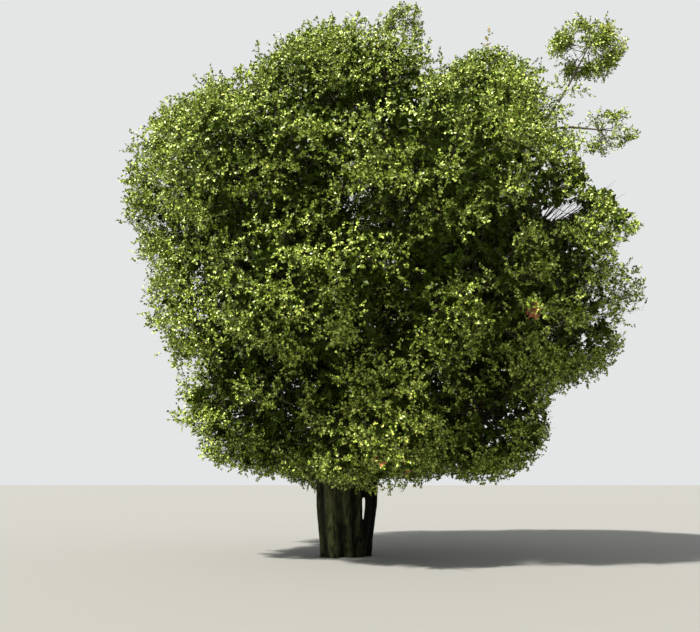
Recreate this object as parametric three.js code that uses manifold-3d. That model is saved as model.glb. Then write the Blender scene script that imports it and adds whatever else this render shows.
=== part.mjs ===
// A solitary pasture hornbeam: a short fluted trunk of two stems that are grown together, two leaders,
// long rising boughs, and a broad dense crown with three open tufts that stand out of it.
// Millimetres, +Z up, seen from the front, -Y. The origin is the middle of the flat cut at ground level.

import * as THREE from "three";
import { mergeVertices } from "three/addons/utils/BufferGeometryUtils.js";
import Module from "manifold-3d";

const wasm = await Module();
wasm.setup();

// Driving dimensions
const forkHeight = 2150; // where the trunk ends and the leaders stand on it
const crownDepthShare = 0.92; // front to back, beside the width
const seatGap = 0.3; // between two pieces that touch
const foliageGap = 12; // between two masses, and from a mass to a limb that passes it
const sprayGap = 45; // from a twig or spray to a limb
const trunkGap = 330; // from the space of a mass to a stem that runs past it
const slivers = [4, 2.5, 1.5]; // what is thinner than this in a joined mass is smoothed away
const goldenAngle = Math.PI * (3 - Math.sqrt(5));

// The two stems, as stations of height, middle x and y, and half width and depth
const stemSizes = {
  left: {
    sides: 24,
    fluteDepth: 0.075,
    fluteCount: 7,
    stations: [
      [0, -150, -40, 440, 430],
      [500, -165, -35, 450, 440],
      [1150, -165, -30, 490, 455],
      [1900, -190, -10, 455, 420],
      [3000, -310, 40, 330, 320],
      [5000, -520, 90, 225, 225],
      [7500, -620, 60, 140, 140],
      [9700, -480, 20, 72, 72],
    ],
  },
  right: {
    sides: 16,
    fluteDepth: 0.06,
    fluteCount: 5,
    stations: [
      [0, 330, 40, 240, 320],
      [450, 390, 70, 205, 290],
      [1060, 465, 100, 215, 250],
      [1500, 480, 110, 215, 235],
      [2200, 660, 130, 205, 215],
      [3200, 1090, 150, 185, 190],
      [5200, 1830, 130, 145, 145],
      [7300, 2420, 60, 100, 100],
      [9650, 2800, 0, 62, 62],
    ],
  },
};
const trunkSteps = 6;
const leaderSteps = 7;
const rootFlare = { share: 0.34, height: 280 };
const slot = { x: 377, height: 1055, halfWidth: 24, halfHeight: 218 }; // daylight between the stems

// The tiers of the crown: where their masses sit, their half sizes, and the boughs that carry them
const tiers = [
  {
    name: "skirt",
    middle: 500,
    count: 5,
    firstAzimuth: 270,
    ring: 2500,
    height: 3000,
    tilt: 0,
    halfSize: { out: 2100, side: 2300, up: 1620 },
    bough: { from: 2450, step: 130, girth: 92, leaves: 22, arrives: -18 },
  },
  {
    name: "lower",
    middle: 900,
    count: 7,
    firstAzimuth: 300,
    ring: 3350,
    height: 5300,
    tilt: 0,
    halfSize: { out: 2650, side: 2600, up: 2050 },
    bough: { from: 2900, step: 260, girth: 125, leaves: 42, arrives: 14 },
  },
  {
    name: "middle",
    middle: 790,
    count: 7,
    firstAzimuth: 287,
    ring: 4000,
    height: 7500,
    tilt: -450,
    halfSize: { out: 2650, side: 2650, up: 2050 },
    bough: { from: 4000, step: 300, girth: 115, leaves: 55, arrives: 22 },
  },
  {
    name: "upper",
    middle: 260,
    count: 5,
    firstAzimuth: 346,
    ring: 2950,
    height: 9200,
    tilt: 250,
    halfSize: { out: 2300, side: 2600, up: 1900 },
    bough: { from: 5900, step: 260, girth: 92, leaves: 62, arrives: 48 },
  },
];
const tierJitter = { azimuth: 8, ring: 220, height: 240 };
const seedOfCrown = 8;

// The two crests, which the leaders themselves run up into
const crests = [
  {
    name: "crest_left",
    crowns: "left",
    x: -420,
    y: 0,
    z: 10820,
    halfSize: { out: 2200, side: 2200, up: 1820 },
  },
  {
    name: "crest_right",
    crowns: "right",
    x: 3050,
    y: -60,
    z: 10700,
    halfSize: { out: 1850, side: 2000, up: 1450 },
  },
];

// The open tufts, each on a limb of its own that leaves a leader at the height named from
const tufts = [
  {
    name: "tuft_high_right",
    x: 5900,
    y: -150,
    z: 11950,
    halfSize: { out: 1050, side: 900, up: 1050 },
    bough: { stem: "right", from: 7900, girth: 76, leaves: 42, arrives: 62 },
  },
  {
    name: "tuft_right",
    x: 6200,
    y: -350,
    z: 9780,
    halfSize: { out: 960, side: 760, up: 660 },
    bough: { stem: "right", from: 7300, girth: 66, leaves: 40, arrives: -8 },
  },
  {
    name: "tuft_top",
    x: 1450,
    y: -200,
    z: 12560,
    halfSize: { out: 620, side: 600, up: 680 },
    bough: { stem: "left", from: 8300, girth: 46, leaves: 62, arrives: 80 },
  },
];

// How foliage grows in a mass. A dense one has a core, and its twigs end under the skin of that. A spray
// that would leave the mass's space is tried shorter.
const dense = {
  core: { shell: 0.8, wall: 0.96, ripple: 0.06 },
  branches: 58,
  sweep: 1.4,
  branchReach: 0.93,
  twigShare: 0.94,
  fan: [{ turn: 34, lift: 0.55 }],
  stemEnd: 0,
  stem: [44, 34],
  twig: [40, 24],
  spray: { length: 980, width: 600, thickness: 50, sunk: 40 },
  sprayTries: [1, 0.84, 0.7],
};
const open = {
  core: null,
  branches: 10,
  sweep: 1.6,
  branchReach: 0.68,
  twigShare: 1,
  fan: [
    { turn: 42, lift: 0.3 },
    { turn: -42, lift: 0.9 },
  ],
  stemEnd: 0.35,
  stem: [34, 22],
  twig: [20, 14],
  spray: { length: 640, width: 440, thickness: 32, sunk: 20 },
  sprayTries: [1, 0.84, 0.7, 0.58],
};
const sprayShape = { widest: 0.55, droop: 1.2 }; // along its length, and in half thicknesses

const barkLook = { color: 0x5f594c, roughness: 0.92 };
const foliageLooks = [0x55701f, 0x4a661c, 0x61792a, 0x3f5a1a].map((color) => ({ color, roughness: 0.62 }));

// Small tools

function seeded(seed) {
  let state = seed >>> 0;
  return () => {
    state = (Math.imul(state, 1664525) + 1013904223) >>> 0;
    return state / 4294967296;
  };
}

function spread(random, size) {
  return (random() * 2 - 1) * size;
}

function mix(pair, share) {
  return THREE.MathUtils.lerp(pair[0], pair[1], share);
}

function solidFrom(geometry) {
  const bare = new THREE.BufferGeometry();
  bare.setAttribute("position", geometry.getAttribute("position"));
  bare.setIndex(geometry.getIndex());
  const merged = mergeVertices(bare, 1e-3);
  return new wasm.Manifold(
    new wasm.Mesh({
      numProp: 3,
      vertProperties: merged.getAttribute("position").array,
      triVerts: new Uint32Array(merged.getIndex().array),
    })
  );
}

function geometryFrom(solid) {
  const { numProp, vertProperties, triVerts } = solid.getMesh();
  const corners = new Float32Array((vertProperties.length / numProp) * 3);
  for (let i = 0; i * numProp < vertProperties.length; i++) {
    corners.set(vertProperties.subarray(i * numProp, i * numProp + 3), i * 3);
  }
  const geometry = new THREE.BufferGeometry();
  geometry.setAttribute("position", new THREE.BufferAttribute(corners, 3));
  geometry.setIndex(new THREE.BufferAttribute(triVerts, 1));
  return geometry;
}

// The largest body of a solid, without loose scraps and with sealed hollows filled
function mainBody(solid) {
  return solid.decompose().reduce((best, body) => (body.volume() > best.volume() ? body : best));
}

// A joined solid without its slivers, as far as that leaves it whole, with no two edges in one place
function smoothed(solid) {
  const tries = slivers.map((sliver) => solid.asOriginal().simplify(sliver));
  return [...tries, solid].find((tidy) => {
    const corners = mergeVertices(geometryFrom(tidy), 1e-3).getIndex().array;
    const edges = new Set();
    for (let i = 0; i < corners.length; i++) {
      edges.add(`${corners[i]} ${corners[i - (i % 3) + ((i + 1) % 3)]}`);
    }
    return edges.size === corners.length && tidy.decompose().length === 1;
  });
}

// A solid less every limb that its box meets
function cutClear(solid, limbs) {
  const box = solid.boundingBox();
  return limbs.reduce((rest, limb) => {
    const other = limb.solid.boundingBox();
    const meets = [0, 1, 2].every((k) => box.min[k] < other.max[k] && box.max[k] > other.min[k]);
    return meets ? rest.subtract(limb.solid) : rest;
  }, solid);
}

// A closed tube, warped by pointAt, which gets the share of its length and the place on a unit circle
function warpedTube(sides, steps, pointAt) {
  const tube = new THREE.CylinderGeometry(1, 1, 1, sides, steps);
  const corners = tube.getAttribute("position");
  for (let i = 0; i < corners.count; i++) {
    const point = pointAt(corners.getY(i) + 0.5, corners.getX(i), corners.getZ(i));
    corners.setXYZ(i, point.x, point.y, point.z);
  }
  return solidFrom(tube);
}

// How much further out an end of a tube lies when the tube is grown all round
function pastEnd(along, grown) {
  return { 0: -grown, 1: grown }[along] ?? 0;
}

// A tube round a curve, with its radius given by the share of its length
function limbTube(curve, sides, steps, radiusAt, grown = 0) {
  const frames = curve.computeFrenetFrames(steps, false);
  return warpedTube(sides, steps, (along, x, z) => {
    const step = Math.round(along * steps);
    const radius = radiusAt(along) + grown;
    return curve
      .getPointAt(along)
      .addScaledVector(frames.tangents[step], pastEnd(along, grown))
      .addScaledVector(frames.binormals[step], x * radius)
      .addScaledVector(frames.normals[step], z * radius);
  });
}

// The trunk and the leaders: each stem is a stack of level rings, ribbed with flutes, flared to its roots

function stemShape({ stations }) {
  const heights = stations.map((station) => station[0]);
  const sizes = stations.flatMap((station) => station.slice(1));
  const between = new THREE.CubicInterpolant(heights, sizes, 4);
  return {
    top: heights[heights.length - 1],
    at(height) {
      const [x, y, halfWidth, halfDepth] = between.evaluate(height);
      return { centre: new THREE.Vector3(x, y, height), halfWidth, halfDepth };
    },
  };
}

const stems = { left: stemShape(stemSizes.left), right: stemShape(stemSizes.right) };

function stemPiece(side, low, high, steps, grown) {
  const { sides, fluteDepth, fluteCount } = stemSizes[side];
  const bunching = low ? 1.3 : 1.7; // rings lie closer together towards the foot
  return warpedTube(sides, steps, (along, x, z) => {
    const height = low + (high - low) * along ** bunching;
    const { centre, halfWidth, halfDepth } = stems[side].at(height);
    const round = Math.atan2(-z, x);
    const twist = height / 5200;
    const ribs = Math.cos(fluteCount * (round + twist)) + 0.6 * Math.cos(3 * round - 4 * twist);
    const flare = rootFlare.share * Math.exp(-height / rootFlare.height) * (0.75 + 0.3 * ribs);
    const swell = 1 + fluteDepth * ribs * Math.exp(-height / 3200) + flare;
    return new THREE.Vector3(
      centre.x + x * (halfWidth * swell + grown),
      centre.y - z * (halfDepth * swell + grown),
      height + pastEnd(along, grown)
    );
  });
}

function trunkSolid(grown) {
  const daylight = new THREE.SphereGeometry(1, 8, 6);
  daylight.scale(slot.halfWidth, 2000, slot.halfHeight).translate(slot.x, 0, slot.height);
  return stemPiece("left", 0, forkHeight, trunkSteps, grown)
    .add(stemPiece("right", 0, forkHeight, trunkSteps, grown))
    .subtract(solidFrom(daylight));
}

function leaderSolid(side, grown) {
  return stemPiece(side, forkHeight + seatGap, stems[side].top, leaderSteps, grown);
}

// The masses of foliage: their places, worked out tier by tier

function tierMasses(tier, index) {
  const random = seeded(seedOfCrown + index);
  return Array.from({ length: tier.count }, (_, i) => {
    const azimuth = THREE.MathUtils.degToRad(
      tier.firstAzimuth + (360 * i) / tier.count + spread(random, tierJitter.azimuth)
    );
    const ring = tier.ring + spread(random, tierJitter.ring);
    const height = tier.height + tier.tilt * Math.cos(azimuth) + spread(random, tierJitter.height);
    const stem = Math.cos(azimuth) > 0.35 ? "right" : "left";
    return {
      name: `${tier.name}_${i + 1}`,
      centre: new THREE.Vector3(
        tier.middle + ring * Math.cos(azimuth),
        ring * Math.sin(azimuth) * crownDepthShare,
        height
      ),
      azimuth,
      halfSize: tier.halfSize,
      habit: dense,
      bough: { ...tier.bough, stem, from: tier.bough.from + tier.bough.step * (i % 3) },
    };
  });
}

function placedMass({ x, y, z, ...item }, habit) {
  return { ...item, centre: new THREE.Vector3(x, y, z), azimuth: x < 0 ? Math.PI : 0, habit };
}

const masses = [
  ...tiers.flatMap(tierMasses),
  ...crests.map((crest) => placedMass(crest, dense)),
  ...tufts.map((tuft) => placedMass(tuft, open)),
];

// A wall of a mass's space: it faces towards a point, and stops at a distance from the mass's middle
function wallTowards(mass, point, distanceOf) {
  const towards = point.clone().sub(mass.centre);
  const apart = towards.length();
  return { normal: towards.divideScalar(apart), distance: distanceOf(apart) };
}

// Walls half way to each neighbour
function neighbourWalls(mass) {
  const others = masses.filter((other) => other !== mass);
  return others.map((other) => wallTowards(mass, other.centre, (apart) => apart / 2 - foliageGap));
}

// Walls that keep a mass off the stems, but for the one that it crowns
function stemWalls(mass) {
  const passing = Object.keys(stems).filter((side) => side !== mass.crowns);
  return passing.flatMap((side) =>
    [-0.8, -0.4, 0, 0.4, 0.8].map((level) => {
      const height = Math.min(mass.centre.z + level * mass.halfSize.up, stems[side].top);
      const { centre, halfWidth } = stems[side].at(height);
      return wallTowards(mass, centre, (apart) => apart - halfWidth - trunkGap);
    })
  );
}

// The space of a mass is its ellipsoid within its walls
function giveSpace(mass) {
  const { out, side, up } = mass.halfSize;
  const outward = new THREE.Vector3(Math.cos(mass.azimuth), Math.sin(mass.azimuth), 0);
  const sideways = new THREE.Vector3(-outward.y, outward.x, 0);
  const walls = [...neighbourWalls(mass), ...stemWalls(mass)];
  const stretch = (v) => Math.hypot(v.dot(outward) / out, v.dot(sideways) / side, v.z / up);
  mass.outward = outward;
  mass.reach = (direction, shellShare = 1, wallShare = 1) =>
    walls.reduce((least, { normal, distance }) => {
      const facing = direction.dot(normal);
      return facing > 0 ? Math.min(least, (wallShare * distance) / facing) : least;
    }, shellShare / stretch(direction));
  mass.facesOut = (direction) => mass.reach(direction, 1.06) > 1 / stretch(direction);
  mass.holds = (point) => {
    const v = point.clone().sub(mass.centre);
    return stretch(v) <= 1 && walls.every(({ normal, distance }) => v.dot(normal) <= distance);
  };
}

masses.forEach(giveSpace);

// The boughs: each leaves its leader at a steep angle, bends over and ends where it enters its mass

function boughCurve(mass) {
  const { stem, from, leaves, arrives } = mass.bough;
  const start = stems[stem].at(from).centre;
  const heading = Math.atan2(mass.centre.y - start.y, mass.centre.x - start.x);
  const rising = (degrees) => {
    const angle = THREE.MathUtils.degToRad(degrees);
    return new THREE.Vector3(
      Math.cos(heading) * Math.cos(angle),
      Math.sin(heading) * Math.cos(angle),
      Math.sin(angle)
    );
  };
  const arrival = rising(arrives);
  const tip = mass.centre.clone().addScaledVector(arrival, -0.985 * mass.reach(arrival.clone().negate()));
  const span = start.distanceTo(tip);
  const bow = new THREE.Vector3(-Math.sin(heading), Math.cos(heading), 0);
  const sway = spread(seeded(Math.round(from + mass.centre.z)), 0.05 * span);
  const leaving = start.clone().addScaledVector(rising(leaves), 0.36 * span).addScaledVector(bow, sway);
  const arriving = tip.clone().addScaledVector(arrival, -0.34 * span).addScaledVector(bow, -sway);
  mass.entry = tip;
  mass.arrival = tip.clone().sub(arriving).normalize();
  return new THREE.CubicBezierCurve3(start, leaving, arriving, tip);
}

function boughRadius(mass, along) {
  const collar = 1 + 0.45 * Math.exp(-along * 9);
  return mix([mass.bough.girth, mass.habit.stem[0] + 4], along ** 0.8) * collar;
}

function boughSolid(mass, curve, grown) {
  return limbTube(curve, 6, 5, (along) => boughRadius(mass, along), grown);
}

// Each limb is also kept as a chain of balls, which twigs and sprays are held clear of
function chainOf(links, ballAt) {
  return Array.from({ length: links + 1 }, (_, i) => ballAt(i / links));
}

function growLimbs() {
  const sides = Object.keys(stems);
  const framework = (gap) => [trunkSolid(gap), ...sides.map((side) => leaderSolid(side, gap))];
  const names = ["trunk", ...sides.map((side) => `leader_${side}`)];
  const nodes = framework(0).map((solid, i) => ({ name: names[i], solid }));
  const seats = framework(seatGap).map((solid) => ({ solid }));
  const cutters = framework(foliageGap).map((solid) => ({ solid }));
  const balls = sides.flatMap((side) =>
    chainOf(40, (along) => {
      const { centre, halfWidth } = stems[side].at(stems[side].top * along);
      return { centre, radius: halfWidth * 1.15 };
    })
  );
  for (const crest of masses.filter((mass) => mass.crowns)) {
    crest.entry = stems[crest.crowns].at(stems[crest.crowns].top).centre;
    crest.arrival = new THREE.Vector3(0, 0, 1);
  }
  for (const mass of masses.filter(({ bough }) => bough)) {
    const curve = boughCurve(mass);
    nodes.push({ name: `bough_${mass.name}`, solid: mainBody(cutClear(boughSolid(mass, curve, 0), seats)) });
    seats.push({ solid: boughSolid(mass, curve, seatGap) });
    cutters.push({ mass, solid: boughSolid(mass, curve, foliageGap) });
    const ballAt = (along) => ({ centre: curve.getPointAt(along), radius: boughRadius(mass, along) });
    balls.push(...chainOf(30, ballAt));
  }
  return { nodes, cutters, balls };
}

// The foliage: twigs leave a mass's stem at golden-angle steps, and sprays of leaves hang from their ends

function branchDirections(mass, random) {
  const { branches, sweep } = mass.habit;
  const pole = mass.centre.clone().sub(mass.entry).normalize();
  const across = new THREE.Vector3(0.31, 0.17, 0.93).cross(pole).normalize();
  const beside = new THREE.Vector3().crossVectors(pole, across);
  const firstTurn = random() * 2 * Math.PI;
  return Array.from({ length: branches }, (_, k) => {
    const cosine = 1 - (sweep * (k + 0.5)) / branches;
    const sine = Math.sqrt(1 - cosine * cosine);
    const turn = firstTurn + k * goldenAngle + spread(random, 0.18);
    return pole
      .clone()
      .multiplyScalar(cosine)
      .addScaledVector(across, sine * Math.cos(turn))
      .addScaledVector(beside, sine * Math.sin(turn));
  });
}

// How far the core of a mass reaches, or its whole space where it has no core
function skin(mass, direction) {
  if (!mass.habit.core) return mass.reach(direction);
  const { shell, wall, ripple } = mass.habit.core;
  const wave = Math.sin(direction.x * 5 + mass.centre.x) * Math.sin(direction.z * 6 + mass.centre.z);
  return mass.reach(direction, shell * (1 + ripple * wave), wall);
}

function coreSolid(mass) {
  const core = new THREE.IcosahedronGeometry(1, 1);
  const corners = core.getAttribute("position");
  for (let i = 0; i < corners.count; i++) {
    const direction = new THREE.Vector3().fromBufferAttribute(corners, i).normalize();
    const point = mass.centre.clone().addScaledVector(direction, skin(mass, direction));
    corners.setXYZ(i, point.x, point.y, point.z);
  }
  return solidFrom(core);
}

// A straight three-sided twig
function twigSolid(start, end, radii) {
  return limbTube(new THREE.LineCurve3(start, end), 3, 1, (along) => mix(radii, along));
}

// A mass's stem starts flat on the tip of its limb and bends towards the middle of its space
function stemRod(mass, start, end) {
  const bend = start.clone().addScaledVector(mass.arrival, start.distanceTo(end) * 0.3);
  const curve = new THREE.QuadraticBezierCurve3(start, bend, end);
  return limbTube(curve, 6, 2, (along) => mix(mass.habit.stem, along));
}

function pointsAlong(start, end, count) {
  return Array.from({ length: count }, (_, i) => start.clone().lerp(end, (i + 1) / count));
}

function clearOf(balls, points) {
  return points.every((point) =>
    balls.every(({ centre, radius }) => point.distanceTo(centre) > radius + sprayGap)
  );
}

// The way a spray hangs at the end of a twig: outward and down, square to the twig
function hangingFrom(direction, mass) {
  const hang = mass.outward.clone().multiplyScalar(0.45);
  hang.z = -1;
  return hang.addScaledVector(direction, -hang.dot(direction)).normalize();
}

// A spray is a kite-shaped blade of eight faces, thick in the middle and a little bent at the tip
function sprayBlade(root, line, face, { length, width, thickness }, share) {
  const blade = new THREE.OctahedronGeometry(1);
  const corners = blade.getAttribute("position");
  for (let i = 0; i < corners.count; i++) {
    const end = Math.round(corners.getY(i));
    corners.setY(i, { "-1": 0, 0: sprayShape.widest, 1: 1 }[end]);
    if (end === 1) corners.setZ(i, -sprayShape.droop);
  }
  const side = new THREE.Vector3().crossVectors(line, face).normalize();
  const placing = new THREE.Matrix4().makeBasis(
    side.multiplyScalar((width / 2) * share),
    line.clone().multiplyScalar(length * share),
    face.clone().multiplyScalar(thickness / 2)
  );
  return blade.applyMatrix4(placing.setPosition(root));
}

// The sprays at a twig's tip that stay within the mass's space and clear of the limbs
function spraysOf(mass, direction, tip, leaning, balls) {
  const { fan, spray, sprayTries } = mass.habit;
  const hang = hangingFrom(direction, mass);
  const fits = (blade, root, end) => {
    const corners = blade.getAttribute("position");
    const points = Array.from({ length: corners.count }, (_, i) =>
      new THREE.Vector3().fromBufferAttribute(corners, i)
    );
    return points.every(mass.holds) && clearOf(balls, [...points, ...pointsAlong(root, end, 4)]);
  };
  return fan.flatMap(({ turn, lift }) => {
    const angle = THREE.MathUtils.degToRad(turn * leaning);
    const line = hang.clone().applyAxisAngle(direction, angle).addScaledVector(direction, lift).normalize();
    const face = direction.clone().addScaledVector(line, -direction.dot(line)).normalize();
    const root = tip.clone().addScaledVector(line, -spray.sunk);
    for (const share of sprayTries) {
      const blade = sprayBlade(root, line, face, spray, share);
      const end = root.clone().addScaledVector(line, spray.length * share);
      if (fits(blade, root, end)) return [solidFrom(blade)];
    }
    return [];
  });
}

function foliageSolid(mass, { cutters, balls }) {
  const { habit, centre, entry, arrival } = mass;
  const random = seeded(Math.round(centre.x + centre.y * 3 + centre.z * 7));
  const nearby = balls.filter((ball) => ball.centre.distanceTo(centre) < 4200);
  const start = entry.clone().addScaledVector(arrival, seatGap);
  const inward = centre.clone().sub(entry).normalize();
  const end = centre.clone().addScaledVector(inward, habit.stemEnd * mass.halfSize.up);
  const stem = stemRod(mass, start, end);
  const bodies = habit.core ? [stem, coreSolid(mass)] : [stem];
  for (const direction of branchDirections(mass, random)) {
    const tip = centre.clone().addScaledVector(direction, habit.branchReach * skin(mass, direction));
    const fork = start.clone().lerp(end, 0.62 + 0.36 * random());
    const leaning = habit.core ? spread(random, 1) : 1;
    if (habit.core && !mass.facesOut(direction)) continue;
    if (!clearOf(nearby, pointsAlong(fork, tip, 6).slice(1))) continue;
    const sprays = spraysOf(mass, direction, tip, leaning, nearby);
    const twigEnd = fork.clone().lerp(tip, habit.twigShare);
    if (sprays.length) bodies.push(twigSolid(fork, twigEnd, habit.twig), ...sprays);
  }
  const passing = cutters.filter((limb) => limb.mass !== mass && (limb.mass || !mass.crowns));
  const leafy = cutClear(wasm.Manifold.union(bodies), cutters);
  return smoothed(mainBody(leafy.add(cutClear(stem, passing))));
}

// The whole tree
const tree = new THREE.Group();

function addNode(name, solid, look) {
  const geometry = geometryFrom(solid);
  geometry.computeVertexNormals();
  const node = new THREE.Mesh(geometry, new THREE.MeshStandardMaterial({ ...look, flatShading: true }));
  node.name = name;
  tree.add(node);
}

const limbs = growLimbs();
limbs.nodes.forEach(({ name, solid }) => addNode(name, solid, barkLook));
masses.forEach((mass, i) => {
  addNode(`foliage_${mass.name}`, foliageSolid(mass, limbs), foliageLooks[i % foliageLooks.length]);
});

export default tree;
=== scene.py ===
# A solitary pasture hornbeam in full summer leaf: a short fluted trunk of two joined stems, rising boughs
# and a broad dense crown. Metres, +Z up, seen from the front, -Y.

from math import atan2, cos, pi, radians, sin, sqrt

import bpy
import numpy as np
from mathutils.kdtree import KDTree
from numpy.linalg import norm
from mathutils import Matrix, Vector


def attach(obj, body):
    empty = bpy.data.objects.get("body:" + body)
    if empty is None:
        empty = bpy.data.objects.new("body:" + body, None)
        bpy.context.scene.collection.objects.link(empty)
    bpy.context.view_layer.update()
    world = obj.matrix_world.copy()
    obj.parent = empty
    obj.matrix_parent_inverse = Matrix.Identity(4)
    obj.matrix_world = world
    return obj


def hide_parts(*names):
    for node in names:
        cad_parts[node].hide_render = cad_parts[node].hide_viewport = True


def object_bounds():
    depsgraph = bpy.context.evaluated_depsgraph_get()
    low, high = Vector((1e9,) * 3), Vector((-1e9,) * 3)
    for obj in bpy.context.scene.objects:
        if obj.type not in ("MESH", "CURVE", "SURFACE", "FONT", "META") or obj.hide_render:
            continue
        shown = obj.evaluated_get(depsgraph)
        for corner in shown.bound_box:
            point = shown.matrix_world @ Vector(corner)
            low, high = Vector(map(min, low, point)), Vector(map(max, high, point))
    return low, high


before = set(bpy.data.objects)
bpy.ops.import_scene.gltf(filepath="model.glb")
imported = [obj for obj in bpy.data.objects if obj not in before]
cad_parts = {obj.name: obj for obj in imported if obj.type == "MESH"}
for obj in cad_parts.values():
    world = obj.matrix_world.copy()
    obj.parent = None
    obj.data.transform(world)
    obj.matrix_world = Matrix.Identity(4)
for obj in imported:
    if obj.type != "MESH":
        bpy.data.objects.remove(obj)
cad_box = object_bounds()


# The trunk and its two leaders.
# Hard grey hornbeam wood under thin bark that is drawn into ribs and flutes, with fine upright fissures and
# pale grey-green algae in soft patches. Light and shade are painted into the bark: its ribs paler, its
# flutes and its right stem darker. The stems are grown together at the foot and part again at the fork.

# Stations up each stem: height, the middle's x and y, and half width
STEMS = {
    "left": [
        (0.000, -0.150, -0.040, 0.440),
        (0.500, -0.165, -0.035, 0.450),
        (1.150, -0.165, -0.030, 0.490),
        (1.900, -0.190, -0.010, 0.455),
        (3.000, -0.310, 0.040, 0.330),
        (5.000, -0.520, 0.090, 0.225),
        (7.500, -0.620, 0.060, 0.140),
        (9.700, -0.480, 0.020, 0.072),
    ],
    "right": [
        (0.000, 0.330, 0.040, 0.240),
        (0.450, 0.390, 0.070, 0.205),
        (1.060, 0.465, 0.100, 0.215),
        (1.500, 0.480, 0.110, 0.215),
        (2.200, 0.660, 0.130, 0.205),
        (3.200, 1.090, 0.150, 0.185),
        (5.200, 1.830, 0.130, 0.145),
        (7.300, 2.420, 0.060, 0.100),
        (9.650, 2.800, 0.000, 0.062),
    ],
}
FLUTES = {"left": 7, "right": 5}


def on_stem(side, height):
    """The middle and half width of a stem at a height, on a smooth curve through its stations."""
    rows = np.array(STEMS[side])
    at, sizes = rows[:, 0], rows[:, 1:]
    i = int(np.clip(np.searchsorted(at, height, side="right"), 1, len(rows) - 1))
    low, high = at[i - 1], at[i]
    before = i - 2 if i > 1 else i
    after = i + 1 if i + 1 < len(rows) else i - 1
    half = (high - low) / 2
    lead, trail = half / (low - at[before]), half / (at[after] - high)
    p = (height - low) / (high - low)
    x, y, width = (
        lead * (-(p**3) + 2 * p**2 - p) * sizes[before]
        + ((1 + lead) * p**3 - (1.5 + 2 * lead) * p**2 + (lead - 0.5) * p + 1) * sizes[i - 1]
        + (-(1 + trail) * p**3 + (1.5 + trail) * p**2 + 0.5 * p) * sizes[i]
        + trail * (p**3 - p**2) * sizes[after]
    )
    return np.array([x, y, height]), width


def unit(vectors):
    return vectors / np.maximum(norm(vectors, axis=-1, keepdims=True), 1e-9)


def merged_copies(name, nodes):
    """One new piece from copies of CAD nodes, with their loose triangles merged."""
    bpy.ops.object.select_all(action="DESELECT")
    for node in nodes:
        part = bpy.data.objects.new(name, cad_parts[node].data.copy())
        bpy.context.collection.objects.link(part)
        part.select_set(True)
        bpy.context.view_layer.objects.active = part
    bpy.ops.object.join()
    piece = bpy.context.object
    piece.name = piece.data.name = name
    piece.data.materials.clear()
    bpy.ops.object.mode_set(mode="EDIT")
    bpy.ops.mesh.select_all(action="SELECT")
    bpy.ops.mesh.remove_doubles(threshold=0.0002)
    bpy.ops.object.mode_set(mode="OBJECT")
    return piece


def apply_modifier(piece, kind, **settings):
    modifier = piece.modifiers.new(kind, kind)
    for name, value in settings.items():
        setattr(modifier, name, value)
    bpy.context.view_layer.objects.active = piece
    bpy.ops.object.modifier_apply(modifier=modifier.name)


def shade_smooth(piece):
    bpy.ops.object.select_all(action="DESELECT")
    piece.select_set(True)
    bpy.ops.object.shade_smooth()


def add_relief(piece, name, size, stretch, depth, mid_level):
    """Raise and sink a skin by a cloudy texture that is stretched upwards."""
    texture = bpy.data.textures.new(name, "CLOUDS")
    texture.noise_scale = size
    texture.noise_depth = 3
    bpy.ops.object.empty_add(location=(0, 0, 0))
    guide = bpy.context.object
    guide.scale = (1, 1, stretch)
    bpy.context.view_layer.update()
    laid = {"texture": texture, "texture_coords": "OBJECT", "texture_coords_object": guide}
    apply_modifier(piece, "DISPLACE", strength=depth, mid_level=mid_level, **laid)
    bpy.data.objects.remove(guide)


trunk = merged_copies("trunk_and_leaders", ["trunk", "leader_left", "leader_right"])

# Between the stems, daylight shows through a slim upright gap
GAP = {"middle": (0.388, 0, 1.025), "half": (0.028, 0.32, 0.8), "tilt": 4}
bpy.ops.mesh.primitive_cylinder_add(vertices=20, radius=1, depth=2, location=GAP["middle"])
cutter = bpy.context.object
cutter.rotation_euler = (radians(90), radians(GAP["tilt"]), 0)
cutter.scale = GAP["half"]
apply_modifier(trunk, "BOOLEAN", object=cutter, operation="DIFFERENCE", solver="EXACT")
bpy.data.objects.remove(cutter)

# The skin is made of small even faces, smoothed, and given the relief of the bark
FACE_SIZE = 0.0195
apply_modifier(trunk, "REMESH", mode="VOXEL", voxel_size=FACE_SIZE, adaptivity=0)
apply_modifier(trunk, "SMOOTH", factor=0.5, iterations=8)
add_relief(trunk, "upright ribs", size=0.16, stretch=5, depth=0.024, mid_level=0.55)
add_relief(trunk, "fissures", size=0.06, stretch=5, depth=0.008, mid_level=0.55)
corners = np.empty(len(trunk.data.vertices) * 3)
trunk.data.vertices.foreach_get("co", corners)
corners = corners.reshape(-1, 3)

# How far each corner is out on a rib, from -1 in a flute to 1, and whether it is on the right stem. The
# ribs wind slowly round the stems, one radian in RIB_PITCH metres.
RIB_PITCH = 5.2
out = {}
for side, stations in STEMS.items():
    rows = np.array(stations)
    middle = np.stack([np.interp(corners[:, 2], rows[:, 0], rows[:, k]) for k in (1, 2, 3)], axis=1)
    away = corners[:, :2] - middle[:, :2]
    turned = np.arctan2(away[:, 1], away[:, 0])
    twist = corners[:, 2] / RIB_PITCH
    rib = (np.cos(FLUTES[side] * (turned + twist)) + 0.6 * np.cos(3 * turned - 4 * twist)) / 1.6
    out[side] = (norm(away, axis=1) - middle[:, 2], rib, unit(away))
on_right = np.clip(0.5 + (out["left"][0] - out["right"][0]) / 0.08, 0, 1)
rib = out["left"][1] + (out["right"][1] - out["left"][1]) * on_right
outward = np.where(on_right[:, None] < 0.5, out["left"][2], out["right"][2])

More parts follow.
